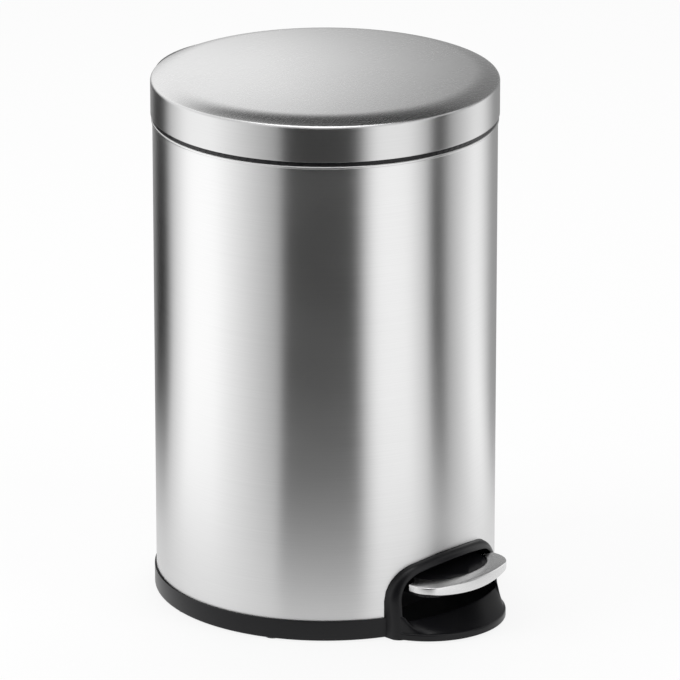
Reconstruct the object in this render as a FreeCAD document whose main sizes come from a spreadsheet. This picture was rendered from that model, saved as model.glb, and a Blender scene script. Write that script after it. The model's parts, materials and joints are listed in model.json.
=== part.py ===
import FreeCAD, Part
import math
import os
import re
import Sketcher

doc = FreeCAD.newDocument("PedalBin")
sheet = doc.addObject("Spreadsheet::Sheet", "Sizes")

# The bin stands on the floor at z = 0 with its axis on Z. The pedal points to -Y, the lid hinges at +Y.
# Driving dimensions, in millimetres and degrees
SIZES = {
    # Steel body
    "body_radius": 144.5, "body_wall": 0.8, "body_seat": 9.0, "body_top": 414.0, "bead_radius": 1.3,
    # Shared clearances and overruns
    "fit_gap": 0.3, "slip_gap": 0.1, "pin_gap": 0.04, "screw_gap": 0.15, "overrun": 5.0,
    # Lid
    "lid_overhang": 1.5, "lid_wall": 0.8, "lid_gap": 5.0, "skirt_height": 26.0,
    "shoulder_radius": 6.0, "dome_radius": 1093.0,
    "liner_flange": 4.3, "liner_wall": 2.0, "liner_lift": 4.0, "liner_head": 3.0,
    "bumper_radius": 2.0, "bumper_inset": 2.1,
    # Top collar
    "collar_rise": 6.0, "collar_wall": 2.0, "collar_ledge": 2.5, "collar_depth": 20.0,
    "collar_width": 8.2, "collar_lip": 0.4,
    # Lid hinge and its crank
    "hinge_offset": 7.5, "hinge_drop": 1.0, "hinge_pin_radius": 2.0, "hinge_pin_end": 1.0,
    "barrel_radius": 5.0, "barrel_half": 19.0, "web_inset": 4.8,
    "crank_back": 17.0, "crank_drop": 12.0, "crank_pin_radius": 2.5, "crank_pin_end": 0.5,
    "fork_gap": 0.5, "fork_wall": 3.0, "fork_half": 3.6,
    "bracket_angle": 30.0, "bracket_cover": 5.0, "bracket_tip": 1.0, "bracket_lift": 6.0,
    "bracket_fall": 2.0, "bracket_edge": 0.8, "bracket_screw_x": 28.0, "bracket_screw_lift": 9.0,
    "screw_sink": 5.0,
    # Rear hinge housing
    "housing_angle": 27.0, "housing_cover": 6.0, "housing_tip": 1.6, "housing_height": 40.0,
    "housing_drop": 8.0, "housing_edge": 1.2, "housing_cavity": 12.0,
    "ear_gap": 0.6, "ear_wall": 7.4, "ear_rim": 0.5, "ear_root": 5.0,
    "housing_screw_x": 24.0, "housing_screw_lift": 16.0,
    # Rear slot for the crank
    "slot_gap": 2.5, "slot_drop": 16.0,
    # Base ring
    "base_lift": 1.0, "ring_overhang": 1.55, "ring_cover": 9.5, "ring_edge": 1.5, "ring_lip_drop": 1.0,
    "ring_lip_wall": 2.0, "ring_ledge": 6.0, "ring_floor": 13.7,
    # Pedal housing
    "arch_half": 64.3, "arch_top": 65.9, "arch_crown": 205.0, "arch_corner": 30.0, "arch_depth": 32.5,
    "arch_low_reach": 13.0, "arch_high_reach": 7.0, "arch_edge": 5.5,
    "leg_wall": 7.0, "visor_wall": 6.5, "back_wall": 3.0, "lip_drop": 2.0,
    "nose_flare": 1.8, "nose_setback": 25.5, "chin_height": 9.0, "nose_edge": 1.5, "chin_inset": 2.2,
    # Bottom plate, feet and screws
    "plate_thick": 2.5, "plate_rib": 3.0, "plate_rib_inset": 35.7, "plate_rib_wall": 2.4,
    "foot_radius": 7.0, "foot_depth": 1.5, "foot_inset": 9.0, "nose_foot_ahead": 43.0,
    "screw_radius": 2.0, "head_radius": 3.8, "head_height": 2.0, "drive_radius": 1.5, "drive_depth": 1.0,
    "plate_screw_inset": 10.0,
    # Pedal lever, its pivot and the tread
    "pivot_y": -40.0, "lever_drop": 19.2, "lever_thick": 3.0, "lever_half": 11.0, "lever_reach": 20.5,
    "lever_slot_side": 2.5, "lever_slot_rise": 5.0,
    "lever_rear_gap": 8.0, "tongue_half": 5.0, "tongue_reach": 5.0, "bush_radius": 5.5, "bush_side": 2.4,
    "bush_sink": 1.0, "axle_radius": 3.0, "axle_end": 1.9, "upright_gap": 0.6, "upright_wall": 2.0,
    "upright_half": 9.0, "upright_rim": 5.0, "foot_plate_half_x": 34.0, "foot_plate_half_y": 17.0,
    "foot_plate_thick": 2.0, "bolt_inset_x": 7.0, "bolt_inset_y": 6.0,
    "clip_rim": 2.0, "clip_thick": 1.0,
    "tread_side": 4.8, "tread_reach": 33.0, "tread_length": 31.0, "tread_bow": 120.0, "tread_corner": 20.0,
    "trim_height": 6.5, "trim_edge": 1.2, "trim_side": 10.5, "trim_front": 10.5,
    "skirt_drop": 4.0, "skirt_wall": 2.5,
    "inset_bow": 110.0, "inset_corner": 24.0, "inset_drop": 0.5, "tread_inset": 2.8, "tread_thick": 3.5,
    "tread_tail_length": 18.0, "near_screw_inset": 8.0, "far_screw_inset": 6.0, "tread_screw_length": 8.0,
    # Lift rod
    "rod_set": 1.0, "rod_radius": 2.5, "rod_foot_cap": 4.0, "rod_end_gap": 3.0,
    "rod_foot_side": 1.8, "rod_foot_half_y": 3.0, "rod_foot_wall": 5.0, "rod_foot_height": 21.0,
    "tongue_gap": 0.8, "eye_half": 4.5, "eye_wall": 2.0, "eye_drop": 8.0, "eye_gap": 0.7,
    "eye_reach_in": 3.3, "eye_reach_out": 0.9, "eye_neck_wall": 1.9, "eye_neck": 12.0,
    "guide_wall": 6.5, "guide_height": 12.0, "guide_low_lift": 16.0, "guide_high_drop": 64.0,
    # Inner bucket and its bail
    "bucket_lift": 9.0, "bucket_gap": 0.7, "bucket_taper": 8.5, "bucket_wall": 2.0,
    "bucket_floor": 2.5, "flange_seat": 2.2, "flange_thick": 2.0, "channel_side": 6.0,
    "channel_gap": 3.5, "bail_drop": 8.3, "bail_inset": 8.5, "bail_wire": 2.0, "bail_pin": 1.8,
    "bail_pin_root": 1.0, "grip_wall": 2.5, "grip_angle": 36.0, "nub_x": 72.0, "nub_radius": 2.5,
    "nub_length": 13.0, "nub_root": 0.8,
}
for row, (alias, value) in enumerate(SIZES.items(), 1):
    sheet.set("A%d" % row, alias)
    sheet.set("B%d" % row, str(value))
    sheet.setAlias("B%d" % row, alias)
doc.recompute()

# Sizes that follow from the driving ones
DERIVED = {
    # Body and lid
    "body_inner": "body_radius - body_wall",
    "lid_radius": "body_radius + lid_overhang",
    "lid_edge": "body_top + lid_gap",
    "shoulder_base": "lid_edge + skirt_height",
    "shoulder_centre": "lid_radius - shoulder_radius",
    "dome_reach": "dome_radius - shoulder_radius",
    "dome_lift": "sqrt(dome_reach ^ 2 - shoulder_centre ^ 2)",
    "dome_centre": "shoulder_base - dome_lift",
    "lid_top": "dome_centre + dome_radius",
    "lid_inner": "lid_radius - lid_wall",
    "liner_outer": "lid_inner - fit_gap",
    "liner_inner": "liner_outer - liner_flange",
    "liner_base": "lid_edge + liner_lift",
    "liner_top": "shoulder_base - liner_head",
    "bumper_circle": "liner_inner + bumper_inset",
    # Top collar
    "groove_inner": "body_inner - fit_gap",
    "groove_outer": "body_radius + fit_gap",
    "collar_top": "body_top + collar_rise",
    "collar_inner": "groove_inner - collar_width",
    "collar_rim": "body_radius + collar_lip",
    # Hinge, crank and rear housing
    "hinge_y": "body_radius + hinge_offset",
    "hinge_z": "lid_edge - hinge_drop",
    "crank_y": "hinge_y - crank_back",
    "crank_z": "hinge_z - crank_drop",
    "crank_length": "sqrt(crank_back ^ 2 + crank_drop ^ 2)",
    "fork_inner": "eye_half + fork_gap",
    "fork_outer": "fork_inner + fork_wall",
    "fork_shift_y": "fork_half * crank_drop / crank_length",
    "fork_shift_z": "fork_half * crank_back / crank_length",
    "crank_head": "crank_pin_radius + fork_half / 2",
    "bracket_inner": "lid_radius + slip_gap",
    "bracket_reach": "hinge_y + bracket_cover",
    "bracket_base": "lid_edge + bracket_lift",
    "bracket_top": "shoulder_base - bracket_fall",
    "bracket_screw_z": "bracket_base + bracket_screw_lift",
    "housing_inner": "body_radius + slip_gap",
    "housing_reach": "hinge_y + housing_cover",
    "housing_top": "hinge_z - housing_drop",
    "housing_base": "housing_top - housing_height",
    "housing_screw_z": "housing_base + housing_screw_lift",
    "ear_inner": "barrel_half + ear_gap",
    "ear_outer": "ear_inner + ear_wall",
    "ear_radius": "barrel_radius + ear_rim",
    "hinge_pin_half": "ear_outer + hinge_pin_end",
    "slot_half": "fork_outer + slot_gap",
    "slot_base": "crank_z - slot_drop",
    # Base ring and pedal housing
    "ring_radius": "body_radius + ring_overhang",
    "ring_top": "body_seat + ring_cover",
    "ring_lip": "ring_top - ring_lip_drop",
    "ring_lip_inner": "groove_inner - ring_lip_wall",
    "ring_inner": "body_inner - ring_floor",
    "arch_back": "body_radius - arch_depth",
    "arch_front_low": "body_radius + arch_low_reach",
    "arch_front_high": "body_radius + arch_high_reach",
    "recess_half": "arch_half - leg_wall",
    "recess_top": "arch_top - visor_wall",
    "recess_back": "arch_back + back_wall",
    "recess_corner": "arch_corner - leg_wall",
    "lip_top": "ring_top - lip_drop",
    "nose_radius": "arch_half + nose_flare",
    "nose_centre": "body_radius - nose_setback",
    "nose_rim": "lip_top - chin_height",
    "chin_low_radius": "nose_radius - chin_inset",
    "chin_high_radius": "arch_front_low - nose_centre",
    # Bottom plate, feet and screws
    "plate_base": "ring_ledge",
    "plate_top": "plate_base + plate_thick",
    "plate_rib_radius": "body_inner - plate_rib_inset",
    "foot_circle": "ring_radius - foot_inset",
    "nose_foot": "nose_centre + nose_foot_ahead",
    "plate_screw_circle": "ring_radius - plate_screw_inset",
    "screw_hole": "screw_radius + screw_gap",
    "head_hole": "head_radius + screw_gap",
    # Pedal lever, pivot and tread
    "lever_base": "recess_top - lever_drop",
    "lever_top": "lever_base + lever_thick",
    "lever_front": "body_radius + lever_reach",
    "lever_rear": "rod_y - lever_rear_gap",
    "tongue_end": "rod_y + tongue_reach",
    "pivot_z": "lever_base - bush_radius + bush_sink",
    "bush_half": "lever_half + bush_side",
    "upright_inner": "bush_half + upright_gap",
    "upright_outer": "upright_inner + upright_wall",
    "upright_head": "axle_radius + upright_rim",
    "clip_radius": "axle_radius + clip_rim",
    "axle_half": "upright_outer + slip_gap + clip_thick + axle_end",
    "foot_plate_top": "plate_top + foot_plate_thick",
    "bolt_x": "foot_plate_half_x - bolt_inset_x",
    "bolt_y": "foot_plate_half_y - bolt_inset_y",
    "trim_base": "lever_top + fit_gap",
    "trim_top": "trim_base + trim_height",
    "tread_half": "recess_half - tread_side",
    "tread_front": "body_radius + tread_reach",
    "tread_back": "tread_front - tread_length",
    "tread_base": "trim_base - tread_thick",
    "tread_tail": "tread_back - tread_tail_length",
    "skirt_half": "tread_half - tread_corner / 4",
    "skirt_bow": "(skirt_half ^ 2 + skirt_drop ^ 2) / (2 * skirt_drop)",
    "skirt_base": "trim_base - skirt_drop",
    "inset_half": "tread_half - trim_side",
    "inset_front": "tread_front - trim_front",
    "inset_top": "trim_top - inset_drop",
    "near_screw": "tread_back + near_screw_inset",
    "far_screw": "tread_tail + far_screw_inset",
    # Lift rod, its slotted ends and guides
    "rod_y": "crank_y - rod_set",
    "rod_bore": "rod_radius + pin_gap",
    "tongue_slot_base": "lever_base - tongue_gap",
    "tongue_slot_top": "lever_top + tongue_gap",
    "rod_foot_half_x": "tongue_half + tongue_gap + rod_foot_side",
    "rod_foot_base": "tongue_slot_base - rod_foot_wall",
    "rod_base": "tongue_slot_top + rod_foot_cap",
    "eye_base": "crank_z - eye_drop",
    "rod_top": "eye_base - rod_end_gap",
    "eye_neck_radius": "rod_radius + eye_neck_wall",
    "eye_slot_inner": "crank_y - eye_reach_in - crank_pin_radius - eye_gap",
    "eye_slot_outer": "crank_y + eye_reach_out + crank_pin_radius + eye_gap",
    "eye_slot_base": "crank_z - crank_pin_radius - eye_gap",
    "eye_slot_top": "crank_z + crank_pin_radius + eye_gap",
    "eye_top": "eye_slot_top + eye_wall",
    "guide_half": "rod_radius + guide_wall",
    "guide_inner": "rod_y - guide_wall",
    "guide_outer": "body_inner - slip_gap",
    "guide_bore": "rod_radius + slip_gap",
    "guide_low": "bucket_base + guide_low_lift",
    "guide_high": "eye_base - guide_high_drop",
    # Inner bucket and its bail
    "bucket_base": "arch_top + bucket_lift",
    "bucket_high_radius": "collar_inner - bucket_gap",
    "bucket_low_radius": "bucket_high_radius - bucket_taper",
    "bucket_flange": "collar_inner + flange_seat",
    "flange_base": "collar_top + fit_gap",
    "flange_top": "flange_base + flange_thick",
    "channel_half": "guide_half + channel_side",
    "channel_flat": "guide_inner - channel_gap",
    "bail_z": "flange_base - bail_drop",
    "bail_radius": "bucket_high_radius - bail_inset",
    "bail_inner": "bail_radius - bail_pin_root",
    "bail_end": "bucket_high_radius - slip_gap",
    "grip_bore": "bail_wire + slip_gap",
    "grip_radius": "bail_wire + grip_wall",
    "nub_outer": "sqrt((bucket_high_radius - bucket_wall) ^ 2 - nub_x ^ 2) + nub_root",
    "nub_inner": "nub_outer - nub_length",
    "nub_z": "bail_z - bail_wire - nub_radius - fit_gap",
}
WORD = re.compile(r"[a-z]\w*")
# How close two places count as the same
NEAR = 1e-4


def formula(text):
    """Write a sum of named sizes as an expression on the sheet's cells."""
    def swap(match):
        word = match.group(0)
        if word in DERIVED:
            return "(" + formula(DERIVED[word]) + ")"
        if word in SIZES:
            return "Sizes." + word
        return word
    return WORD.sub(swap, text)


def number(text):
    """The present value of a sum of named sizes."""
    return float(sheet.evalExpression(formula(text)))


def bind(thing, **properties):
    """Tie properties of an object to the sheet."""
    for name, text in properties.items():
        thing.setExpression(name, formula(text))


TURNS = {
    "x": FreeCAD.Rotation(FreeCAD.Vector(0, 1, 0), 90),
    "y": FreeCAD.Rotation(FreeCAD.Vector(1, 0, 0), -90),
    "z": FreeCAD.Rotation(),
    "down": FreeCAD.Rotation(FreeCAD.Vector(1, 0, 0), 180),
    "back": FreeCAD.Rotation(FreeCAD.Vector(1, 0, 0), 90),
}
OPPOSITE = {"z": "down", "down": "z", "y": "back", "back": "y"}


def place(thing, x, y, z, turn):
    """Turn an object, then tie its place to the sheet."""
    thing.Placement = FreeCAD.Placement(FreeCAD.Vector(), turn)
    for axis, text in (("x", x), ("y", y), ("z", z)):
        thing.setExpression("Placement.Base." + axis, formula(text))
    return thing


def rod(radius, length, x="0", y="0", z="0", along="z"):
    """A round bar that starts at a point and runs along an axis."""
    bar = doc.addObject("Part::Cylinder", "Bar")
    bind(bar, Radius=radius, Height=length)
    return place(bar, x, y, z, TURNS[along])


def block(x0, x1, y0, y1, z0, z1):
    """A box between two corners."""
    box = doc.addObject("Part::Box", "Block")
    bind(box, Length=x1 + "-(" + x0 + ")", Width=y1 + "-(" + y0 + ")", Height=z1 + "-(" + z0 + ")")
    return place(box, x0, y0, z0, TURNS["z"])


def cone(low, high, height, y="0", z="0"):
    """A frustum standing on a level plane."""
    frustum = doc.addObject("Part::Cone", "Frustum")
    bind(frustum, Radius1=low, Radius2=high, Height=height)
    return place(frustum, "0", y, z, TURNS["z"])


def hoop(ring, wire, angle, z, turn):
    """A bent wire, round the bin's axis at a height."""
    torus = doc.addObject("Part::Torus", "Hoop")
    bind(torus, Radius1=ring, Radius2=wire, Angle3=angle)
    return place(torus, "0", "0", z, turn)


def fuse(*pieces):
    """Join pieces into one solid."""
    joined = doc.addObject("Part::MultiFuse", "Joined")
    joined.Shapes = list(pieces)
    joined.Refine = True
    return joined


def cut(base, *tools):
    """Take tools away from a piece."""
    carved = doc.addObject("Part::Cut", "Carved")
    carved.Base = base
    carved.Tool = tools[0] if len(tools) == 1 else fuse(*tools)
    return carved


def common(first, second):
    """Keep what two pieces share."""
    shared = doc.addObject("Part::MultiCommon", "Shared")
    shared.Shapes = [first, second]
    return shared


def group(*pieces):
    """Separate solids kept as one piece."""
    bundle = doc.addObject("Part::Compound", "Bundle")
    bundle.Links = list(pieces)
    return bundle


def arc_between(start, end, radius, left):
    """The short arc from start to end, turning left or right."""
    a, b = (start, end) if left else (end, start)
    chord = b - a
    rise = math.sqrt(max(radius ** 2 - chord.Length ** 2 / 4, 0))
    normal = FreeCAD.Vector(-chord.y, chord.x, 0) / chord.Length
    centre = (a + b) / 2 + normal * rise
    angles = [math.atan2(p.y - centre.y, p.x - centre.x) for p in (a, b)]
    circle = Part.Circle(centre, FreeCAD.Vector(0, 0, 1), radius)
    return Part.ArcOfCircle(circle, angles[0], angles[1])


def outline(sketch, points):
    """Close an outline through points; a point may carry the radius and turn of the arc that follows it."""
    spots = [FreeCAD.Vector(number(p[0]), number(p[1]), 0) for p in points]
    ends = []
    for i, point in enumerate(points):
        start, end = spots[i], spots[(i + 1) % len(points)]
        if len(point) == 2:
            sketch.addGeometry(Part.LineSegment(start, end))
            ends.append((1, 2))
        else:
            left = point[3] == "left"
            sketch.addGeometry(arc_between(start, end, number(point[2]), left))
            ends.append((1, 2) if left else (2, 1))
    for i, point in enumerate(points):
        following = (i + 1) % len(points)
        sketch.addConstraint(Sketcher.Constraint("Coincident", i, ends[i][1], following, ends[following][0]))
        rules = [("DistanceX", point[0], spots[i].x, -2), ("DistanceY", point[1], spots[i].y, -1)]
        for kind, text, value, axis in rules:
            if text == "0":
                sketch.addConstraint(Sketcher.Constraint("PointOnObject", i, ends[i][0], axis))
                continue
            index = sketch.addConstraint(Sketcher.Constraint(kind, -1, 1, i, ends[i][0], value))
            sketch.setExpression("Constraints[%d]" % index, formula(text))
        if len(point) > 2:
            index = sketch.addConstraint(Sketcher.Constraint("Radius", i, number(point[2])))
            sketch.setExpression("Constraints[%d]" % index, formula(point[2]))


def sketch_on(body, plane, offset, points):
    """A sketch on one of a body's own planes, lifted along the plane's normal."""
    sketch = body.newObject("Sketcher::SketchObject", "Outline")
    origin = [f for f in body.Origin.OriginFeatures if f.Role == plane][0]
    sketch.AttachmentSupport = [(origin, "")]
    sketch.MapMode = "FlatFace"
    sketch.setExpression("AttachmentOffset.Base.z", formula(offset))
    outline(sketch, points)
    return sketch


def lathe(points):
    """Turn an outline of radius and height round the bin's axis."""
    body = doc.addObject("PartDesign::Body", "Turned")
    sketch = sketch_on(body, "XZ_Plane", "0", points)
    turned = body.newObject("PartDesign::Revolution", "Turning")
    turned.Profile = sketch
    turned.ReferenceAxis = (sketch, ["V_Axis"])
    turned.Angle = 360
    doc.recompute()
    return body


def pad(plane, offset, length, points):
    """Raise an outline off one of the body's planes."""
    body = doc.addObject("PartDesign::Body", "Raised")
    sketch = sketch_on(body, plane, offset, points)
    raised = body.newObject("PartDesign::Pad", "Raising")
    raised.Profile = sketch
    bind(raised, Length=length)
    doc.recompute()
    return body


def middle(edge):
    """The point half way along an edge."""
    return edge.valueAt((edge.FirstParameter + edge.LastParameter) / 2)


def round_edges(body, radius, wanted):
    """Round those edges of a body whose middle a test picks."""
    sharp = body.Tip
    names = ["Edge%d" % i for i, edge in enumerate(sharp.Shape.Edges, 1) if wanted(middle(edge))]
    rounded = body.newObject("PartDesign::Fillet", "Rounding")
    rounded.Base = (sharp, names)
    bind(rounded, Radius=radius)
    doc.recompute()
    return body


def arch(half, top, crown, corner, base, flip=False):
    """An outline with upright sides, round corners and a bowed top; flip lays it towards -Y."""
    centre_up = "({t})-({c})+sqrt((({c})-({r}))^2-(({h})-({r}))^2)".format(t=top, c=crown, r=corner, h=half)
    share = "({c})/(({c})-({r}))".format(c=crown, r=corner)
    side_x = "(({h})-({r}))*{s}".format(h=half, r=corner, s=share)
    side_up = "({t})-({c})+({u}-({t})+({c}))*{s}".format(t=top, c=crown, u=centre_up, s=share)
    sign = "-1*" if flip else ""
    turn = "right" if flip else "left"
    return [
        ("-1*(%s)" % half, "%s(%s)" % (sign, base)),
        ("1*(%s)" % half, "%s(%s)" % (sign, base)),
        ("1*(%s)" % half, "%s(%s)" % (sign, centre_up), corner, turn),
        ("1*(%s)" % side_x, "%s(%s)" % (sign, side_up), crown, turn),
        ("-1*(%s)" % side_x, "%s(%s)" % (sign, side_up), corner, turn),
        ("-1*(%s)" % half, "%s(%s)" % (sign, centre_up)),
    ]


def crescent(inner, reach, tip, angle):
    """A plan outline that hugs a cylinder at the rear and is thickest in the middle."""
    end_x = "(%s)*sin(%s)" % (inner, angle)
    end_y = "(%s)*cos(%s)" % (inner, angle)
    tip_x = "(%s+%s)*sin(%s)" % (inner, tip, angle)
    tip_y = "(%s+%s)*cos(%s)" % (inner, tip, angle)
    rise = "(%s-(%s))" % (reach, tip_y)
    bow = "((%s)^2+(%s)^2)/(2*%s)" % (tip_x, rise, rise)
    return [
        ("1*" + end_x, "1*" + end_y),
        ("1*" + tip_x, "1*" + tip_y, bow, "left"),
        ("-1*" + tip_x, "1*" + tip_y),
        ("-1*" + end_x, "1*" + end_y, inner, "right"),
    ]


def screw(x, y, z, length, along):
    """A pan-head screw with a round drive; its head's seat is at the point given."""
    face_y = {"y": y + "-head_height", "back": y + "+head_height"}.get(along, y)
    face_z = {"z": z + "-head_height", "down": z + "+head_height"}.get(along, z)
    shank = rod("screw_radius", length, x, y, z, along)
    head = rod("head_radius", "head_height", x, y, z, OPPOSITE[along])
    drive = rod("drive_radius", "drive_depth", x, face_y, face_z, along)
    return cut(fuse(shank, head), drive)


def round_about(circle, angles):
    """Places on a circle round the bin's axis."""
    return [("%s*cos(%s)" % (circle, a), "%s*sin(%s)" % (circle, a)) for a in angles]


subparts = {}


# Lid: a pressed dome with a rounded shoulder and a skirt
def lid_skin(inset, rising):
    """One face of the lid from the skirt's edge to its top, or back down."""
    shoulder = "shoulder_radius-%s" % inset
    dome = "dome_radius-%s" % inset
    meet_x = "shoulder_centre*(%s)/dome_reach" % dome
    meet_z = "dome_centre+dome_lift*(%s)/dome_reach" % dome
    side = "lid_radius-%s" % inset
    if rising:
        return [(side, "lid_edge"), (side, "shoulder_base", shoulder, "left"), (meet_x, meet_z, dome, "left")]
    return [("0", "dome_centre+" + dome, dome, "right"), (meet_x, meet_z, shoulder, "right"),
            (side, "shoulder_base"), (side, "lid_edge")]


bracket_holes = [rod("screw_hole", "bracket_reach", x, "0", "bracket_screw_z", "y")
                 for x in ("bracket_screw_x", "-bracket_screw_x")]
turned_lid = lathe(lid_skin("0", True) + [("0", "lid_top")] + lid_skin("lid_wall", False))
subparts["lid_shell"] = cut(turned_lid, *bracket_holes)

turned_liner = lathe([
    ("liner_inner", "liner_base"), ("liner_outer", "liner_base"),
    ("liner_outer", "liner_top"), ("liner_outer-liner_wall", "liner_top"),
    ("liner_outer-liner_wall", "liner_base+liner_wall"), ("liner_inner", "liner_base+liner_wall")])
subparts["lid_liner"] = cut(turned_liner, *bracket_holes)

subparts["lid_bumpers"] = group(*[
    rod("bumper_radius", "liner_base-collar_top-fit_gap", x, y, "collar_top+fit_gap")
    for x, y in round_about("bumper_circle", (30, 150, 210, 330))])


# Lid hinge bracket: a crescent on the skirt, a barrel on the pin and a fork that the lift rod works
crest = pad("XY_Plane", "bracket_base", "bracket_top-bracket_base",
            crescent("bracket_inner", "bracket_reach", "bracket_tip", "bracket_angle"))
round_edges(crest, "bracket_edge", lambda p: p.y > number("bracket_reach") - NEAR
            and p.z > number("bracket_top") - NEAR)
barrel = rod("barrel_radius", "2*barrel_half", "-barrel_half", "hinge_y", "hinge_z", "x")
web = block("-barrel_half", "barrel_half", "hinge_y-web_inset", "hinge_y+web_inset/2",
            "hinge_z", "bracket_base+web_inset/2")
prongs = []
for left in ("fork_inner", "-fork_outer"):
    prongs.append(pad("YZ_Plane", left, "fork_outer-fork_inner", [
        ("hinge_y+fork_shift_y", "hinge_z-fork_shift_z"), ("hinge_y-fork_shift_y", "hinge_z+fork_shift_z"),
        ("crank_y-fork_shift_y", "crank_z+fork_shift_z"), ("crank_y+fork_shift_y", "crank_z-fork_shift_z")]))
    prongs.append(rod("crank_head", "fork_outer-fork_inner", left, "crank_y", "crank_z", "x"))
bracket_bores = [
    rod("hinge_pin_radius+pin_gap", "2*(barrel_half+overrun)", "-barrel_half-overrun",
        "hinge_y", "hinge_z", "x"),
    rod("crank_pin_radius+pin_gap", "2*(fork_outer+overrun)", "-fork_outer-overrun",
        "crank_y", "crank_z", "x")]
head_wells = [rod("head_hole", "screw_sink+overrun", x, "bracket_reach-screw_sink", "bracket_screw_z", "y")
              for x in ("bracket_screw_x", "-bracket_screw_x")]
subparts["lid_hinge_bracket"] = cut(fuse(crest, barrel, web, *prongs),
                                    *bracket_bores, *bracket_holes, *head_wells)

subparts["lid_bracket_screws"] = group(*[
    screw(x, "bracket_reach-screw_sink", "bracket_screw_z", "bracket_reach-screw_sink-liner_inner", "back")
    for x in ("bracket_screw_x", "-bracket_screw_x")])
subparts["crank_pin"] = rod("crank_pin_radius", "2*(fork_outer+crank_pin_end)", "-fork_outer-crank_pin_end",
                            "crank_y", "crank_z", "x")
subparts["hinge_pin"] = rod("hinge_pin_radius", "2*hinge_pin_half", "-hinge_pin_half",
                            "hinge_y", "hinge_z", "x")

# Rear hinge housing: a cover on the body with two ears for the pin
cover = pad("XY_Plane", "housing_base", "housing_top-housing_base",
            crescent("housing_inner", "housing_reach", "housing_tip", "housing_angle"))
round_edges(cover, "housing_edge", lambda p: p.y > number("housing_reach") - NEAR)
ears = []
for left in ("ear_inner", "-ear_outer"):
    right = left + "+ear_outer-ear_inner"
    ears.append(block(left, right, "hinge_y-ear_radius", "hinge_y+ear_radius",
                      "housing_top-ear_root", "hinge_z"))
    ears.append(rod("ear_radius", "ear_outer-ear_inner", left, "hinge_y", "hinge_z", "x"))
pin_bore = rod("hinge_pin_radius+pin_gap", "2*(ear_outer+overrun)", "-ear_outer-overrun",
               "hinge_y", "hinge_z", "x")
cavity = block("-slot_half", "slot_half", "0", "hinge_y", "housing_top-housing_cavity", "hinge_z")
housing_holes = [rod("screw_hole", "housing_reach", x, "0", "housing_screw_z", "y")
                 for x in ("housing_screw_x", "-housing_screw_x")]
housing_wells = [rod("head_hole", "screw_sink+overrun", x, "housing_reach-screw_sink", "housing_screw_z", "y")
                 for x in ("housing_screw_x", "-housing_screw_x")]
subparts["hinge_housing"] = cut(fuse(cover, *ears), pin_bore, cavity, *housing_holes, *housing_wells)
subparts["hinge_housing_screws"] = group(*[
    screw(x, "housing_reach-screw_sink", "housing_screw_z", "housing_reach-body_inner", "back")
    for x in ("housing_screw_x", "-housing_screw_x")])

# Body: a rolled steel cylinder with a bead, a pedal window in front and a crank slot at the rear
tube = lathe([("body_inner", "body_seat"), ("body_radius", "body_seat"),
              ("body_radius", "body_top"), ("body_inner", "body_top")])
bead = hoop("body_radius-body_wall/2", "bead_radius", "360", "body_top", TURNS["z"])
window = pad("XZ_Plane", "arch_back", "ring_radius",
             arch("arch_half+fit_gap", "arch_top+fit_gap", "arch_crown", "arch_corner", "0"))
crank_slot = block("-slot_half", "slot_half", "0", "housing_reach", "slot_base", "body_top+overrun")
subparts["body_shell"] = cut(fuse(tube, bead), window, crank_slot, *housing_holes)

turned_collar = lathe([
    ("collar_inner", "collar_top-collar_ledge"), ("groove_inner-collar_wall", "collar_top-collar_ledge"),
    ("groove_inner-collar_wall", "collar_top-collar_depth"), ("groove_inner", "collar_top-collar_depth"),
    ("groove_inner", "body_top+bead_radius+fit_gap"), ("collar_rim", "body_top+bead_radius+fit_gap"),
    ("collar_rim", "collar_top"), ("collar_inner", "collar_top")])
bead_relief = hoop("body_radius-body_wall/2", "bead_radius+fit_gap", "360", "body_top", TURNS["z"])
collar_notch = block("-slot_half", "slot_half", "0", "housing_reach", "slot_base", "collar_top+overrun")
subparts["top_collar"] = cut(turned_collar, bead_relief, collar_notch)

# Base ring with the arched pedal housing and its nose
ring = lathe([
    ("ring_inner", "base_lift"), ("ring_radius-ring_edge", "base_lift", "ring_edge", "left"),
    ("ring_radius", "base_lift+ring_edge"), ("ring_radius", "ring_top"), ("groove_outer", "ring_top"),
    ("groove_outer", "body_seat"), ("groove_inner", "body_seat"), ("groove_inner", "ring_lip"),
    ("ring_lip_inner", "ring_lip"), ("ring_lip_inner", "ring_ledge"), ("ring_inner", "ring_ledge")])
arch_block = pad("XZ_Plane", "arch_back", "arch_front_low",
                 arch("arch_half", "arch_top", "arch_crown", "arch_corner", "base_lift"))
front_face = cone("arch_front_low", "arch_front_high", "arch_top-base_lift", "0", "base_lift")
hood = common(arch_block, front_face)
doc.recompute()


def on_front_face(point):
    """Whether a point lies on the hood's conical front, above its base."""
    rise_share = (point.z - number("base_lift")) / number("arch_top-base_lift")
    face = number("arch_front_low") - rise_share * number("arch_front_low-arch_front_high")
    return rise_share > NEAR and abs(math.hypot(point.x, point.y) - face) < math.sqrt(NEAR)


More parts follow.
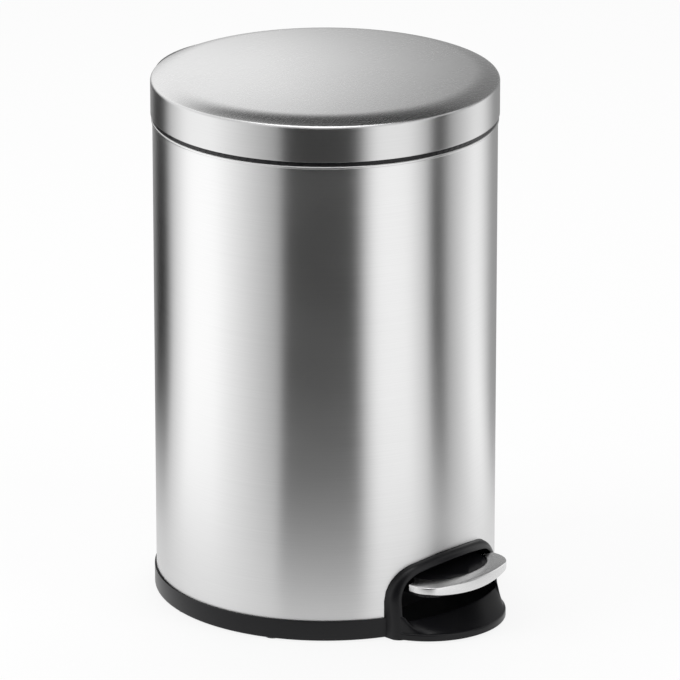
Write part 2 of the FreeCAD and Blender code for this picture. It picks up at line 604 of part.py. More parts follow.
hood_edges = [i for i, edge in enumerate(hood.Shape.Edges, 1) if on_front_face(middle(edge))]
rounded_hood = doc.addObject("Part::Fillet", "RoundedHood")
rounded_hood.Base = hood
rounded_hood.Edges = [(i, number("arch_edge"), number("arch_edge")) for i in hood_edges]
nose = rod("nose_radius", "nose_rim-base_lift", "0", "-nose_centre", "base_lift")
doc.recompute()
rounded_nose = doc.addObject("Part::Fillet", "RoundedNose")
rounded_nose.Base = nose
rounded_nose.Edges = [(i, number("nose_edge"), number("nose_edge"))
                      for i, edge in enumerate(nose.Shape.Edges, 1)
                      if edge.Closed and middle(edge).z > number("nose_rim") - NEAR]
chin = cone("chin_low_radius", "chin_high_radius", "lip_top-nose_rim+nose_edge/2", "-nose_centre",
            "nose_rim-nose_edge/2")
inner_half = block("-nose_radius-overrun", "nose_radius+overrun", "-arch_back", "nose_radius",
                   "0", "arch_top")
recess = pad("XZ_Plane", "recess_back", "arch_front_low",
             arch("recess_half", "recess_top", "arch_crown", "recess_corner", "lip_top"))
lever_slot = block("-lever_half-lever_slot_side", "lever_half+lever_slot_side", "-recess_back-overrun",
                   "-arch_back+overrun", "lip_top+lever_slot_rise", "lever_top+lever_slot_rise")
plate_screw_places = round_about("plate_screw_circle", (45, 135, 225, 315))
foot_places = round_about("foot_circle", (15, 165, 205, 335)) + [("0", "-nose_foot")]
ring_holes = [rod("screw_hole", "ring_ledge+overrun", x, y, "0") for x, y in plate_screw_places]
ring_wells = [rod("head_hole", "head_height+base_lift+fit_gap", x, y, "0") for x, y in plate_screw_places]
foot_wells = [rod("foot_radius+slip_gap", "base_lift+foot_depth", x, y, "0") for x, y in foot_places]
ring_and_hood = fuse(ring, rounded_hood, cut(fuse(rounded_nose, chin), inner_half))
subparts["base_ring"] = cut(ring_and_hood, recess, lever_slot, *ring_holes, *ring_wells, *foot_wells)
subparts["rubber_feet"] = group(*[
    rod("foot_radius", "base_lift+foot_depth", x, y, "0") for x, y in foot_places])

# Bottom plate with a stiffening rib
disc = rod("ring_lip_inner-fit_gap", "plate_thick", "0", "0", "plate_base")
rib = cut(rod("plate_rib_radius", "plate_rib", "0", "0", "plate_top"),
          rod("plate_rib_radius-plate_rib_wall", "plate_rib+overrun", "0", "0", "plate_top"))
front_notch = block("-nose_radius-fit_gap", "nose_radius+fit_gap", "-ring_radius", "-arch_back+fit_gap",
                    "0", "arch_top")
bolt_places = [(x, y) for x in ("bolt_x", "-1*(bolt_x)") for y in ("pivot_y+bolt_y", "pivot_y-(bolt_y)")]
plate_holes = [rod("screw_hole", "plate_top+overrun", x, y, "0") for x, y in plate_screw_places + bolt_places]
subparts["bottom_plate"] = cut(fuse(disc, rib), front_notch, *plate_holes)
subparts["bottom_plate_screws"] = group(*[
    screw(x, y, "base_lift+head_height+fit_gap", "plate_top-base_lift-head_height", "z")
    for x, y in plate_screw_places])

# Pedal pivot: a steel bracket, its axle and clips
foot_plate = block("-foot_plate_half_x", "foot_plate_half_x", "pivot_y-foot_plate_half_y",
                   "pivot_y+foot_plate_half_y", "plate_top", "foot_plate_top")
uprights = []
for left in ("upright_inner", "-upright_inner-upright_wall"):
    uprights.append(block(left, left + "+upright_wall", "pivot_y-upright_half", "pivot_y+upright_half",
                          "plate_top", "pivot_z"))
    uprights.append(rod("upright_head", "upright_wall", left, "pivot_y", "pivot_z", "x"))
axle_bore = rod("axle_radius+pin_gap", "2*(axle_half+overrun)", "-axle_half-overrun",
                "pivot_y", "pivot_z", "x")
bolt_holes = [rod("screw_hole", "foot_plate_top+overrun", x, y, "0") for x, y in bolt_places]
subparts["pivot_bracket"] = cut(fuse(foot_plate, *uprights), axle_bore, *bolt_holes)
subparts["pivot_bracket_screws"] = group(*[
    screw(x, y, "foot_plate_top", "foot_plate_top-plate_base", "down") for x, y in bolt_places])
subparts["pivot_axle"] = rod("axle_radius", "2*axle_half", "-axle_half", "pivot_y", "pivot_z", "x")
clips = []
for left in ("upright_inner+upright_wall+slip_gap", "-upright_inner-upright_wall-slip_gap-clip_thick"):
    bore = rod("axle_radius+pin_gap", "2*overrun", left + "-overrun", "pivot_y", "pivot_z", "x")
    clips.append(cut(rod("clip_radius", "clip_thick", left, "pivot_y", "pivot_z", "x"), bore))
subparts["axle_clips"] = group(*clips)

# Pedal lever: a steel strip with a bush, from the tread to the foot of the lift rod
strip = block("-lever_half", "lever_half", "-lever_front", "lever_rear", "lever_base", "lever_top")
tongue = block("-tongue_half", "tongue_half", "lever_rear-overrun", "tongue_end", "lever_base", "lever_top")
bush = rod("bush_radius", "2*bush_half", "-bush_half", "pivot_y", "pivot_z", "x")
tread_screw_places = [("0", "-1*(near_screw)"), ("0", "-1*(far_screw)")]
lever_holes = [rod("screw_hole", "2*overrun", x, y, "lever_base-overrun") for x, y in tread_screw_places]
subparts["pedal_lever"] = cut(fuse(strip, tongue, bush), axle_bore, *lever_holes)

# Pedal tread: a black pad in a metal trim
trim_outer = pad("XY_Plane", "trim_base", "trim_top-trim_base",
                 arch("tread_half", "tread_front", "tread_bow", "tread_corner", "tread_back", True))
round_edges(trim_outer, "trim_edge", lambda p: p.z > number("trim_top") - NEAR
            and p.y < -number("tread_back") - NEAR)
trim_inner = pad("XY_Plane", "trim_base-overrun", "trim_top-trim_base+2*overrun",
                 arch("inset_half", "inset_front", "inset_bow", "inset_corner", "tread_back-overrun", True))
# The front band hangs lower in the middle: a ring of the outline kept inside a wide lying cylinder
band_outer = pad("XY_Plane", "skirt_base", "skirt_drop+trim_height/2",
                 arch("tread_half", "tread_front", "tread_bow", "tread_corner", "tread_back", True))
band_inner = pad("XY_Plane", "skirt_base-overrun", "skirt_drop+trim_height+overrun",
                 arch("tread_half-skirt_wall", "tread_front-skirt_wall", "tread_bow",
                      "tread_corner-skirt_wall", "tread_back-overrun", True))
band_limit = rod("skirt_bow", "tread_length+overrun", "0", "overrun-tread_back",
                 "skirt_base+skirt_bow", "back")
front_band = common(cut(band_outer, band_inner), band_limit)
subparts["pedal_trim"] = fuse(cut(trim_outer, trim_inner), front_band)
carrier = pad("XY_Plane", "tread_base", "tread_thick",
              arch("tread_half-tread_inset", "tread_front-tread_inset", "tread_bow",
                   "tread_corner-tread_inset", "tread_tail", True))
inset = pad("XY_Plane", "tread_base", "inset_top-tread_base",
            arch("inset_half-slip_gap", "inset_front-slip_gap", "inset_bow", "inset_corner-slip_gap",
                 "tread_tail", True))
lever_channel = block("-lever_half-slip_gap", "lever_half+slip_gap", "-lever_front-slip_gap", "0",
                      "0", "lever_top+slip_gap")
tread_holes = [rod("screw_hole", "tread_screw_length", x, y, "lever_base") for x, y in tread_screw_places]
subparts["pedal_pad"] = cut(fuse(carrier, inset), lever_channel, *tread_holes)
subparts["pedal_screws"] = group(*[
    screw(x, y, "lever_base", "tread_screw_length-screw_gap", "z") for x, y in tread_screw_places])

# Lift rod with a slotted foot for the lever's tongue and a slotted eye for the crank pin
subparts["lift_rod"] = rod("rod_radius", "rod_top-rod_base", "0", "rod_y", "rod_base")
foot_block = block("-rod_foot_half_x", "rod_foot_half_x", "rod_y-rod_foot_half_y", "rod_y+rod_foot_half_y",
                   "rod_foot_base", "rod_foot_base+rod_foot_height")
tongue_slot = block("-tongue_half-tongue_gap", "tongue_half+tongue_gap", "0", "body_radius",
                    "tongue_slot_base", "tongue_slot_top")
foot_bore = rod("rod_bore", "rod_foot_height", "0", "rod_y", "rod_base")
subparts["rod_foot"] = cut(foot_block, tongue_slot, foot_bore)
eye_block = block("-eye_half", "eye_half", "eye_slot_inner-eye_wall", "eye_slot_outer+eye_wall",
                  "eye_base", "eye_top")
eye_slot = block("-eye_half-overrun", "eye_half+overrun", "eye_slot_inner", "eye_slot_outer",
                 "eye_slot_base", "eye_slot_top")
eye_neck = rod("eye_neck_radius", "eye_neck+eye_wall", "0", "rod_y", "eye_base-eye_neck")
eye_bore = rod("rod_bore", "rod_top-eye_base+eye_neck+overrun", "0", "rod_y", "eye_base-eye_neck-overrun")
subparts["rod_eye"] = cut(fuse(eye_block, eye_neck), eye_slot, eye_bore)
for name, height in (("rod_guide_lower", "guide_low"), ("rod_guide_upper", "guide_high")):
    stock = block("-guide_half", "guide_half", "guide_inner", "body_radius", height, height + "+guide_height")
    wall = rod("guide_outer", "guide_height", "0", "0", height)
    subparts[name] = cut(common(stock, wall),
                         rod("guide_bore", "guide_height+2*overrun", "0", "rod_y", height + "-overrun"))

# Inner bucket: a tapered pail with a rim, a rear channel for the lift rod and a wire bail
pail = cone("bucket_low_radius", "bucket_high_radius", "flange_base-bucket_base", "0", "bucket_base")
rim = rod("bucket_flange", "flange_thick", "0", "0", "flange_base")
hollow = cone("bucket_low_radius-bucket_wall", "bucket_high_radius-bucket_wall",
              "flange_top-bucket_base-bucket_floor+fit_gap", "0", "bucket_base+bucket_floor")
channel = block("-channel_half", "channel_half", "channel_flat", "body_radius", "0", "flange_top+overrun")
channel_wall = block("-channel_half-bucket_wall", "channel_half+bucket_wall", "channel_flat-bucket_wall",
                     "body_radius", "0", "flange_top+overrun")
bail_bore = rod("bail_pin+slip_gap", "2*bucket_flange", "-bucket_flange", "0", "bail_z", "x")
nubs = [rod("nub_radius", "nub_outer-nub_inner", x, "-nub_inner", "nub_z", "back")
        for x in ("nub_x", "-nub_x")]
open_pail = cut(fuse(pail, rim), channel, cut(hollow, channel_wall))
subparts["inner_bucket"] = cut(fuse(open_pail, *nubs), bail_bore)
HALF_ROUND = FreeCAD.Rotation(FreeCAD.Vector(0, 0, 1), 180)
bail_hoop = hoop("bail_radius", "bail_wire", "180", "bail_z", HALF_ROUND)
bail_ends = [rod("bail_pin", "bail_end-bail_inner", x, "0", "bail_z", "x")
             for x in ("bail_inner", "-bail_end")]
subparts["bucket_bail"] = fuse(bail_hoop, *bail_ends)
GRIP_TURN = FreeCAD.Rotation(FreeCAD.Vector(0, 0, 1), -90 - SIZES["grip_angle"] / 2)
grip = hoop("bail_radius", "grip_radius", "grip_angle", "bail_z", GRIP_TURN)
subparts["bail_grip"] = cut(grip, hoop("bail_radius", "grip_bore", "360", "bail_z", TURNS["z"]))

# Check every object, then write each piece to its own file
doc.recompute()
for name, piece in subparts.items():
    piece.Label = name
for thing in doc.Objects:
    if "Invalid" in thing.State or "Error" in thing.State:
        raise RuntimeError("failed: %s %s %s" % (thing.Name, thing.Label, thing.State))
os.makedirs("parts", exist_ok=True)
for name, piece in subparts.items():
    if piece.Shape.isNull() or not piece.Shape.isValid():
        raise RuntimeError("no valid shape: " + name)
    print("%-24s solids %d  volume %.0f" % (name, len(piece.Shape.Solids), piece.Shape.Volume))
for name, piece in subparts.items():
    piece.Shape.exportStep("parts/%s.step" % name)
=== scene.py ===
import json
import math

import bmesh
import bpy
import numpy as np
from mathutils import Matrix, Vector


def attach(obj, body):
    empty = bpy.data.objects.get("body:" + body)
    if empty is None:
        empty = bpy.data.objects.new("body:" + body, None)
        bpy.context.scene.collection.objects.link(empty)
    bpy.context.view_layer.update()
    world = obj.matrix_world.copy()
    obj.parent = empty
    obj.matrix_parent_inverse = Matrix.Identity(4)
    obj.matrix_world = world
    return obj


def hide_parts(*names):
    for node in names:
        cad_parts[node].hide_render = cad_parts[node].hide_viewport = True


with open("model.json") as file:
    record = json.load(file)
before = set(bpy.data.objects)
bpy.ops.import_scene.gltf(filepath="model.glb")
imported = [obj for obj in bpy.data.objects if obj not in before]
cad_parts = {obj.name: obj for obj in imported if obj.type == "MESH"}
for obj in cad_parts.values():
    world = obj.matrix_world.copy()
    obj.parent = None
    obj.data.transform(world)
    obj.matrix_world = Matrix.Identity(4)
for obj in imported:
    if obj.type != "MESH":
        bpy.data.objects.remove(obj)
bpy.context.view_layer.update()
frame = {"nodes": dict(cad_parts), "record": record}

# The frame is in metres: the bin's axis is Z, the pedal points to -Y and the lid hinges at +Y.
# Depths towards the pedal are written as positive "ahead" values and become -Y in the meshes.
MM = 0.001
TURN = 2 * math.pi

# Steel body: radius, wall, lower and upper edge, rolled bead, gap round the housing, rear slot for the crank
BODY_RADIUS, BODY_WALL, BODY_SEAT, BODY_TOP = 144.5 * MM, 0.8 * MM, 9 * MM, 414 * MM
BEAD_RADIUS, BEAD_WRAP = 1.3 * MM, 0.7
WINDOW_GAP, SIDE_STEP = 0.3 * MM, 1e-5
SLOT_HALF, SLOT_BASE = 10.5 * MM, 390 * MM

# Lid: skirt, shoulder, the rounder rim of the dome and the dome itself
LID_RADIUS, LID_WALL, LID_EDGE, SKIRT_HEIGHT = 146 * MM, 0.8 * MM, 419 * MM, 28 * MM
SHOULDER_RADIUS, RIM_RADIUS = 3 * MM, 60 * MM
DOME_LEAN, RIM_LEAN, DOME_FACING = math.radians(4.7), math.radians(24), 0.7
SKIRT_ROWS = (0.3 * MM, 1 * MM, SKIRT_HEIGHT - 1 * MM)
# Lid bracket: the height above which its crest is raised, and by how much
BRACKET_KNEE, BRACKET_RISE = 440 * MM, 1.8 * MM

# Base ring: outside, top, bore and underside, its rounded edges, the groove for the body and the lip inside it
RING_RADIUS, RING_TOP, RING_INNER, BASE_LIFT = 146.05 * MM, 18.5 * MM, 130 * MM, 1 * MM
RING_EDGE, RING_CREASE = 1.5 * MM, 0.5 * MM
GROOVE_OUTER, GROOVE_INNER = 144.8 * MM, 143.4 * MM
RING_LIP, RING_LIP_INNER, RING_LEDGE = 17.5 * MM, 141.4 * MM, 6 * MM

# Pedal housing: its arch seen from the front, the mouth inside it and the leaning front
ARCH = dict(half=64.3 * MM, top=65.9 * MM, crown=205 * MM, corner=30 * MM)
MOUTH = dict(half=57.3 * MM, top=59.4 * MM, crown=205 * MM, corner=23 * MM)
ARCH_BACK, MOUTH_BACK = 112 * MM, 115 * MM
FRONT_LOW, FRONT_HIGH = 157.5 * MM, 151.5 * MM
ARCH_EDGE, MOUTH_EDGE = 5.5 * MM, 1.5 * MM
LEVER_SLOT = dict(half=13.5 * MM, low=21.5 * MM, high=48.2 * MM)

# Nose of the housing: a round foot plate, with a chin that climbs to the lip of the mouth and to the legs
NOSE_RADIUS, NOSE_AHEAD, NOSE_RIM, NOSE_EDGE = 66.1 * MM, 119 * MM, 7.5 * MM, 1.5 * MM
LIP_HEIGHT, LIP_CORNER, LIP_RADIUS, LIP_EDGE = 16.5 * MM, 5 * MM, 157 * MM, 2 * MM
FLOOR_HALF, LEG_END, LEG_BITE = 58.5 * MM, 62.5 * MM, 0.3 * MM
FLOOR_SINK, FLOOR_TUCK, BULGE = 0.6, 1 * MM, 0.45
# Along the lip: shares of its path where the corner and the leg start, and the rim's angles that belong to them
LIP_SHARES, RIM_ANGLES = (0, 0.62, 0.80, 1), np.radians((0, 49, 58, 72))

# Pedal trim: outline of the tread, outline of the black inset, and the front band that hangs in the middle
TREAD = dict(half=52.5 * MM, top=177.5 * MM, crown=120 * MM, corner=20 * MM)
INSET = dict(half=39.5 * MM, top=166.5 * MM, crown=85 * MM, corner=26 * MM)
TREAD_BACK, TRIM_BASE, TRIM_TOP, TRIM_FALL = 146.5 * MM, 43.5 * MM, 50.3 * MM, 1.3 * MM
BAND_DROP, BAND_HALF, BAND_DEPTH, BAND_EDGE = 4 * MM, 47.5 * MM, 2.5 * MM, 0.3 * MM
TRIM_EDGE, INSET_EDGE, TRIM_MIDDLE = 0.9 * MM, 0.5 * MM, (0.2, 0.85)

# Steps and rows of the meshes, and distances below which points and faces count as one
SEGMENTS, TRIM_ROWS, TRIM_EDGE_ROWS, HEM_ROWS, ARC_ROWS, DOME_ROWS = 360, 6, 6, 7, 14, 40
BODY_ROWS, BEAD_ROWS, HOOD_EDGE_ROWS, MOUTH_FLOOR_STEPS = 16, 18, 9, 30
NOSE_STEPS, CHIN_ROWS, NOSE_EDGE_ROWS = 161, 16, 8
MERGE_DISTANCE, SLIVER_DISTANCE, SMALLEST = 1e-7, 1e-8, 1e-9


# Meshes
def grid_mesh(name, grid, wrap=False):
    """A mesh from a grid of points: four neighbours make a face, and wrap joins the last column to the
    first."""
    index = np.arange(grid.shape[0] * grid.shape[1]).reshape(grid.shape[:2])
    if wrap:
        index = np.concatenate([index, index[:, :1]], 1)
    corners = (index[:-1, :-1], index[1:, :-1], index[1:, 1:], index[:-1, 1:])
    mesh = bpy.data.meshes.new(name)
    mesh.from_pydata(grid.reshape(-1, 3).tolist(), [], np.stack([c.ravel() for c in corners], 1).tolist())
    return mesh


def surface(name, grid, wrap=False, uv=None, crease=38):
    """A piece from a grid of points, with a grain map where the points have places on it."""
    mesh = grid_mesh(name, grid, wrap)
    if uv is not None:
        layer = mesh.uv_layers.new(name="grain")
        loops = np.empty(len(mesh.loops), dtype=np.int32)
        mesh.loops.foreach_get("vertex_index", loops)
        layer.data.foreach_set("uv", uv.reshape(-1, 2)[loops].astype(np.float32).ravel())
    return finish_mesh(name, mesh, crease, True)


def finish_mesh(name, mesh, crease, outwards):
    """Merge equal points, turn new faces outwards, shade smooth but for creases, and link the piece."""
    work = bmesh.new()
    work.from_mesh(mesh)
    bmesh.ops.remove_doubles(work, verts=work.verts, dist=MERGE_DISTANCE)
    bmesh.ops.dissolve_degenerate(work, edges=work.edges, dist=SLIVER_DISTANCE)
    if outwards:
        bmesh.ops.recalc_face_normals(work, faces=work.faces)
    work.to_mesh(mesh)
    work.free()
    mesh.shade_smooth()
    mesh.set_sharp_from_angle(angle=math.radians(crease))
    piece = bpy.data.objects.new(name, mesh)
    bpy.context.scene.collection.objects.link(piece)
    return piece


def capped(grid):
    """Close both ends of a swept section: one more row at each end, drawn together at the section's middle."""
    ends = [np.broadcast_to(row.mean(0), row.shape)[None] for row in (grid[0], grid[-1])]
    return np.concatenate([ends[0], grid, ends[1]])


def ease(share):
    """A share held between 0 and 1 that starts and ends gently: 3 s^2 - 2 s^3."""
    share = np.clip(share, 0, 1)
    return share * share * (3 - 2 * share)


def rounded(points, radii, steps=6):
    """A closed outline whose corners are arcs: each arc starts and ends where it touches the two sides."""
    points = np.asarray(points, float)
    outline = []
    for here, before, after, radius in zip(points, np.roll(points, 1, 0), np.roll(points, -1, 0), radii):
        if radius == 0:
            outline.append(here[None])
            continue
        before, after = [(p - here) / np.linalg.norm(p - here) for p in (before, after)]
        half = math.acos(np.clip(before @ after, -1, 1)) / 2
        centre = here + (before + after) / np.linalg.norm(before + after) * radius / math.sin(half)
        reach, swing = radius / math.tan(half), math.pi - 2 * half
        share = np.linspace(0, 1, steps + 1)[:, None]
        start, end = here + before * reach - centre, here + after * reach - centre
        arc = (np.sin((1 - share) * swing) * start + np.sin(share * swing) * end) / math.sin(swing)
        outline.append(centre + arc)
    return np.concatenate(outline)


def lathe(name, profile, start=0.0, stop=TURN, crease=38):
    """A closed profile of radius and height turned round the bin's axis; the grain map runs round and up."""
    angle = np.linspace(start, stop, round(SEGMENTS * (stop - start) / TURN) + 1)
    radius, height = profile[:, 0], profile[:, 1]
    grid = np.stack([np.outer(np.sin(angle), radius), np.outer(-np.cos(angle), radius),
                     np.tile(height, (len(angle), 1))], 2)
    if stop - start < TURN:
        return surface(name, capped(grid), True, None, crease)
    along = np.concatenate([[0], np.cumsum(np.hypot(np.diff(radius), np.diff(height)))])
    uv = np.stack(np.broadcast_arrays(angle[:, None] * BODY_RADIUS, along[None]), 2)
    return surface(name, grid, True, uv, crease)


def arch_path(half, top, crown, corner, base, straight=10, bend=14, bow=28):
    """An arch from its left foot to its right one: upright side, corner arc, bowed crown, corner arc, side.
    The corner's centre is as far from the crown's centre as the two radii differ."""
    inset = half - corner
    rise = math.sqrt((crown - corner) ** 2 - inset ** 2)
    corner_up, lean = top - crown + rise, math.atan2(inset, rise)
    side = np.stack([np.full(straight, -half), np.linspace(base, corner_up, straight, endpoint=False)], 1)
    turn = np.linspace(0, math.pi / 2 - lean, bend, endpoint=False)
    knee = np.stack([-inset - corner * np.cos(turn), corner_up + corner * np.sin(turn)], 1)
    sway = np.linspace(-lean, 0, bow // 2, endpoint=False)
    brow = np.stack([crown * np.sin(sway), top - crown + crown * np.cos(sway)], 1)
    left = np.concatenate([side, knee, brow])
    return np.concatenate([left, [[0, top]], left[::-1] * [-1, 1]])


def smooth_copy(node, crease=35):
    """A copy of a CAD node with its points merged, smooth but for edges sharper than the crease."""
    mesh = frame["nodes"][node].data.copy()
    mesh.materials.clear()
    piece = finish_mesh(node + "_skin", mesh, crease, False)
    even = piece.modifiers.new("even_normals", "WEIGHTED_NORMAL")
    even.keep_sharp = True
    return piece


# Shaders
class Socket:
    """A shader value whose sums, differences and products become Math nodes."""

    def __init__(self, tree, socket):
        self.tree, self.socket = tree, socket

    def math(self, operation, *values):
        return self.tree.node("ShaderNodeMath", {"operation": operation}, *values)

    def __add__(self, other):
        return self.math("ADD", self, other)

    def __sub__(self, other):
        return self.math("SUBTRACT", self, other)

    def __rsub__(self, other):
        return self.math("SUBTRACT", other, self)

    def __mul__(self, other):
        return self.math("MULTIPLY", self, other)

    __radd__, __rmul__ = __add__, __mul__


class Finish:
    """A node tree, with one method that adds any node."""

    def __init__(self, owner):
        owner.use_nodes = True
        self.tree = owner.node_tree
        self.tree.nodes.clear()

    def node(self, kind, settings=None, *values, out=0, **named):
        """Add a node, set its settings, then feed its sockets with values or links."""
        node = self.tree.nodes.new(kind)
        for key, value in (settings or {}).items():
            setattr(node, key, value)
        sockets = list(enumerate(values)) + [(key.replace("_", " "), value) for key, value in named.items()]
        for key, value in sockets:
            target = node.inputs[key]
            if isinstance(value, Socket):
                self.tree.links.new(value.socket, target)
            else:
                target.default_value = value
        return Socket(self, node.outputs[out]) if node.outputs else None

    def place(self, kind="Object"):
        return self.node("ShaderNodeTexCoord", None, out=kind)

    def noise(self, vector, scale, detail=2.0, roughness=0.5):
        return self.node("ShaderNodeTexNoise", None, Vector=vector, Scale=scale, Detail=detail,
                         Roughness=roughness)

    def stretch(self, vector, factors):
        return self.node("ShaderNodeVectorMath", {"operation": "MULTIPLY"}, vector, factors)

    def blend(self, share, first, second):
        return self.node("ShaderNodeMix", {"data_type": "RGBA"}, out=2, Factor=share, A=first, B=second)

    def end(self, shader, kind="ShaderNodeOutputMaterial"):
        self.node(kind, None, Surface=shader)


def grey(level):
    return (level, level, level, 1.0)


# Steel: how much darker and lighter the strokes go, what strokes and clouds add to the roughness, the size of the
# clouds, the depth of the strokes in metres, and the quarter turn that draws highlights across the strokes
STROKE_DARK, STROKE_LIGHT, STROKE_ROUGH, CLOUD_ROUGH = 0.07, 0.06, 0.10, 0.04
CLOUD_SCALE, STROKE_DEPTH, PULL_TURN = 14.0, 0.0002, 0.25
# Plastic: the size of the gloss patches, how far they shift the tint, and the depth of the pebbles in metres
PATCH_SCALE, PATCH_TINT, PEBBLE_DEPTH = 22.0, 0.15, 0.0003


def brushed_steel(name, tone, roughness, strokes, pull, place="UV", relief=0.06, contrast=1.0):
    """Steel with fine strokes: noise that is long along the strokes and short across them shifts the
    roughness, the tint and the bump; pull is how far the strokes draw a highlight out across themselves."""
    material = bpy.data.materials.new(name)
    finish = Finish(material)
    fine = finish.noise(finish.stretch(finish.place(place), strokes), 1.0, 3.0, 0.6)
    clouds = finish.noise(finish.place(), CLOUD_SCALE)
    dark, light = tone * (1 - STROKE_DARK * contrast), tone * (1 + STROKE_LIGHT * contrast)
    colour = finish.blend(fine, grey(dark), grey(light))
    bump = finish.node("ShaderNodeBump", None, Strength=relief, Distance=STROKE_DEPTH, Height=fine)
    rough = roughness + (fine - 0.5) * (STROKE_ROUGH * contrast) + (clouds - 0.5) * CLOUD_ROUGH
    finish.end(finish.node("ShaderNodeBsdfPrincipled", None, Base_Color=colour, Metallic=1.0, Roughness=rough,
                           Anisotropic=pull, Anisotropic_Rotation=PULL_TURN, Normal=bump))
    return material


def moulded_plastic(name, colour, roughness, pebble=900.0, depth=0.05, spread=0.08, shine=0.5):
    """Moulded plastic: a fine pebbled skin, with slow patches of more and less gloss."""
    material = bpy.data.materials.new(name)
    finish = Finish(material)
    spot = finish.place()
    skin = finish.noise(spot, pebble)
    patches = finish.noise(spot, PATCH_SCALE, 3.0)
    dark, light = [[c * shift for c in colour] + [1.0] for shift in (1 - PATCH_TINT, 1 + PATCH_TINT)]
    shade = finish.blend(patches, dark, light)
    bump = finish.node("ShaderNodeBump", None, Strength=depth, Distance=PEBBLE_DEPTH, Height=skin)
    finish.end(finish.node("ShaderNodeBsdfPrincipled", None, Base_Color=shade, Normal=bump,
                           Roughness=roughness + (patches - 0.5) * spread, Specular_IOR_Level=shine))
    return material


ROUND_STROKES, STRAIGHT_STROKES = (9.0, 1300.0, 1.0), (12.0, 1100.0, 1.0)
FINISHES = {
    "body_steel": brushed_steel("body_steel", 0.70, 0.31, ROUND_STROKES, 0.9),
    "lid_steel": brushed_steel("lid_steel", 0.60, 0.30, ROUND_STROKES, 0.85),
    "dome_steel": brushed_steel("dome_steel", 0.66, 0.27, STRAIGHT_STROKES, 0.0, "Object", 0.012, 0.4),
    "trim_steel": brushed_steel("trim_steel", 0.74, 0.26, (60.0, 1500.0, 1500.0), 0.0, "Object"),
    "zinc_steel": brushed_steel("zinc_steel", 0.55, 0.38, (300.0, 300.0, 300.0), 0.0, "Object"),
    "black_plastic": moulded_plastic("black_plastic", (0.006, 0.006, 0.007), 0.32, shine=0.26),
    "bucket_plastic": moulded_plastic("bucket_plastic", (0.03, 0.03, 0.032), 0.5),
    "grey_plastic": moulded_plastic("grey_plastic", (0.10, 0.10, 0.105), 0.48),
    "rubber": moulded_plastic("rubber", (0.02, 0.02, 0.02), 0.75, 1400.0, 0.1),
}
SLOTS = {row["node"]: row["material_slot"] for row in frame["record"]["subparts"]}
BODY_OF = {node: body for body, nodes in frame["record"]["behaviour"]["bodies"].items() for node in nodes}
dressed = set()


def settle(piece, node):
    """Let a piece stand for a node: it rides on the node's body and takes the node's slot and finish."""
    piece.data.materials.append(FINISHES[SLOTS[node]])
    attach(piece, BODY_OF[node])
    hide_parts(node)
    dressed.add(node)
    return piece


# Lid shell
def lid_profile():
    """Skirt, shoulder arc, rim arc and dome arc, each tangent to the next, out and back inside the wall.
    Each arc adds its radius times the change of the lean's sine outwards, and of its cosine downwards."""
    shoulder_base = LID_EDGE + SKIRT_HEIGHT
    shoulder_run = SHOULDER_RADIUS * (1 - math.sin(RIM_LEAN))
    rim_run = RIM_RADIUS * (math.sin(RIM_LEAN) - math.sin(DOME_LEAN))
    dome_radius = (LID_RADIUS - shoulder_run - rim_run) / math.sin(DOME_LEAN)
    shoulder_x = LID_RADIUS - SHOULDER_RADIUS
    rim_x = dome_radius * math.sin(DOME_LEAN) - RIM_RADIUS * math.sin(DOME_LEAN)
    rim_z = shoulder_base + (SHOULDER_RADIUS - RIM_RADIUS) * math.cos(RIM_LEAN)
    dome_z = rim_z + (RIM_RADIUS - dome_radius) * math.cos(DOME_LEAN)
    arcs = [(shoulder_x, shoulder_base, SHOULDER_RADIUS, math.pi / 2, RIM_LEAN, ARC_ROWS),
            (rim_x, rim_z, RIM_RADIUS, RIM_LEAN, DOME_LEAN, ARC_ROWS),
            (0, dome_z, dome_radius, DOME_LEAN, 0, DOME_ROWS)]
    skins = []
    for inset in (0, LID_WALL):
        lines = [np.array([[LID_RADIUS - inset, LID_EDGE + row] for row in SKIRT_ROWS])]
        for x, z, radius, first, last, count in arcs:
            lean = np.linspace(first, last, count, endpoint=last == 0)
            reach = radius - inset
            lines.append(np.stack([x + reach * np.sin(lean), z + reach * np.cos(lean)], 1))
        skins.append(np.concatenate(lines))
    hem = np.linspace(math.pi, TURN, HEM_ROWS)[1:-1]
    edge = np.stack([LID_RADIUS - LID_WALL / 2 + LID_WALL / 2 * np.cos(hem),
                     LID_EDGE + LID_WALL / 2 + LID_WALL / 2 * np.sin(hem)], 1)
    return np.concatenate([skins[0], skins[1][::-1], edge])


def give_dome_finish(piece):
    """Faces that look up or down more than sideways take the dome's own finish."""
    piece.data.materials.append(FINISHES["dome_steel"])
    normals = np.empty(len(piece.data.polygons) * 3, dtype=np.float32)
    piece.data.polygons.foreach_get("normal", normals)
    looks_up = np.abs(normals.reshape(-1, 3)[:, 2]) > DOME_FACING
    piece.data.polygons.foreach_set("material_index", looks_up.astype(np.int32))


give_dome_finish(settle(lathe("lid_skin", lid_profile()), "lid_shell"))


# Steel body
def arch_height(x, half, top, crown, corner):
    """Height of an arch at a place across it: a bowed crown between two round corners."""
    x = np.abs(x)
    inset = half - corner
    corner_up = top - crown + math.sqrt((crown - corner) ** 2 - inset ** 2)
    meet = inset * crown / (crown - corner)
    bow = top - crown + np.sqrt(crown ** 2 - np.minimum(x, crown) ** 2)
    bend = corner_up + np.sqrt(np.maximum(corner ** 2 - np.maximum(x - inset, 0) ** 2, 0))
    return np.where(x < meet, bow, bend)


